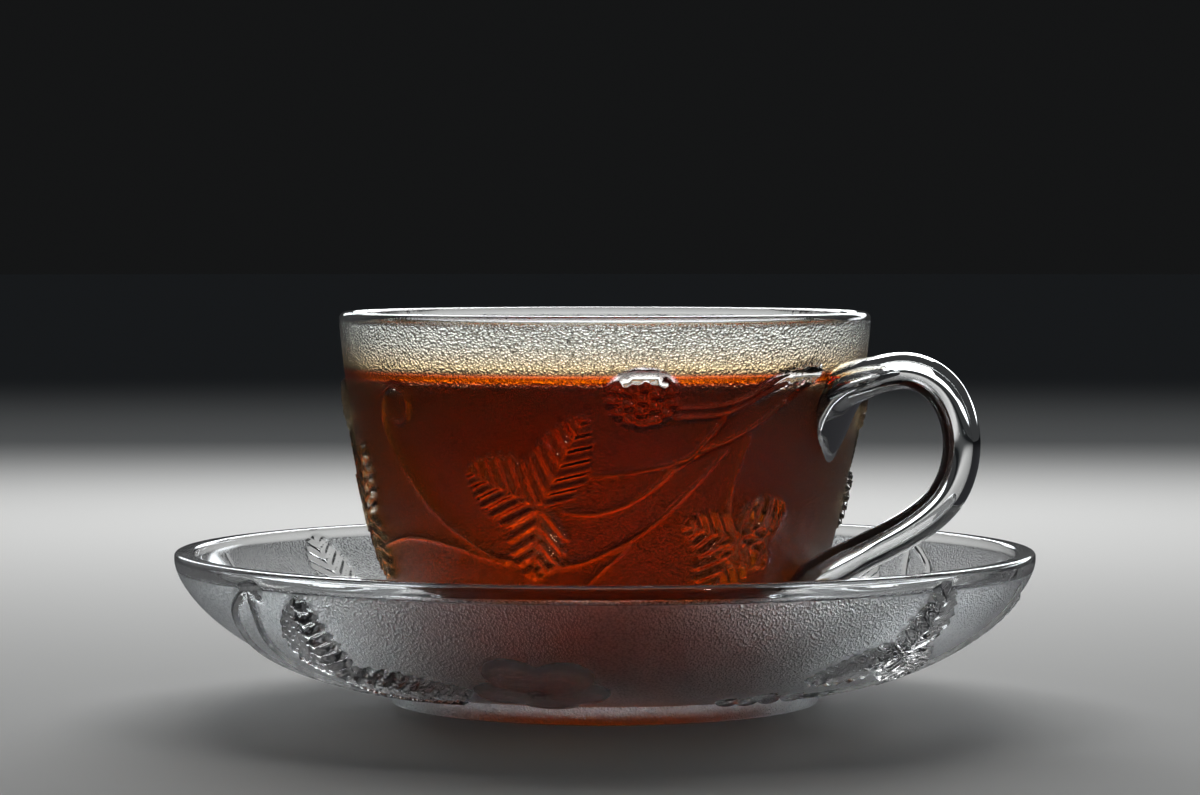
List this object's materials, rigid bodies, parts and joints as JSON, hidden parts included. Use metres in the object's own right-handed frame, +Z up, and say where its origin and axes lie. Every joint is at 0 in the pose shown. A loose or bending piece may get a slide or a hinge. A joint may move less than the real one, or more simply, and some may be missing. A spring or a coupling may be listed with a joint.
{
  "type": "glass cup of tea on a saucer",
  "caption": "Clear pressed glass cup with a round handle, filled with tea, standing on its matching shallow glass saucer.",
  "frame": {"origin": "centre of the saucer's foot, on the surface it stands on", "axes": "+Z up, +X from the cup's axis towards its handle, +Y to the left of the handle seen from above with +X pointing away"},
  "size_m": [0.14, 0.14, 0.0636],
  "materials": {
    "clear_glass": "clear pressed glass, stippled outside with a raised leaf pattern, smooth at the rims",
    "tea": "clear red-brown black tea, amber where it is thin"
  },
  "bodies": {
    "root": {"saucer": "clear_glass", "cup": "clear_glass", "tea": "tea"}
  },
  "joints": []
}
